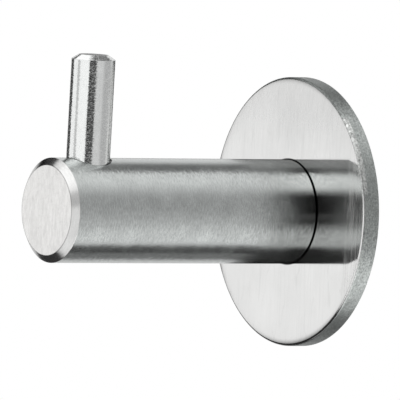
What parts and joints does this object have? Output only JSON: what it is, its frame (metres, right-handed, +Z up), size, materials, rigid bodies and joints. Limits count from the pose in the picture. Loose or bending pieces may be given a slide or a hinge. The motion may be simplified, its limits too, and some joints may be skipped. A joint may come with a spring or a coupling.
{
  "type": "wall hook",
  "caption": "Stainless wall hook: a round bar stands square on a round rose, and an upright pin near the bar's free end keeps coats and towels on it.",
  "frame": {"origin": "centre of the rose's back face, which lies on the wall", "axes": "+Y points into the wall along the bar's axis, the bar stands out along -Y, and the pin points up along +Z"},
  "size_m": [0.0516, 0.059, 0.0555],
  "materials": {
    "rose_steel": "polished with a fine upright grain on the face, ground on the rim",
    "bar_steel": "fine grain around the bar, faced end",
    "pin_steel": "bright drawn"
  },
  "bodies": {
    "root": {"rose": "rose_steel", "bar": "bar_steel", "pin": "pin_steel"}
  },
  "joints": []
}
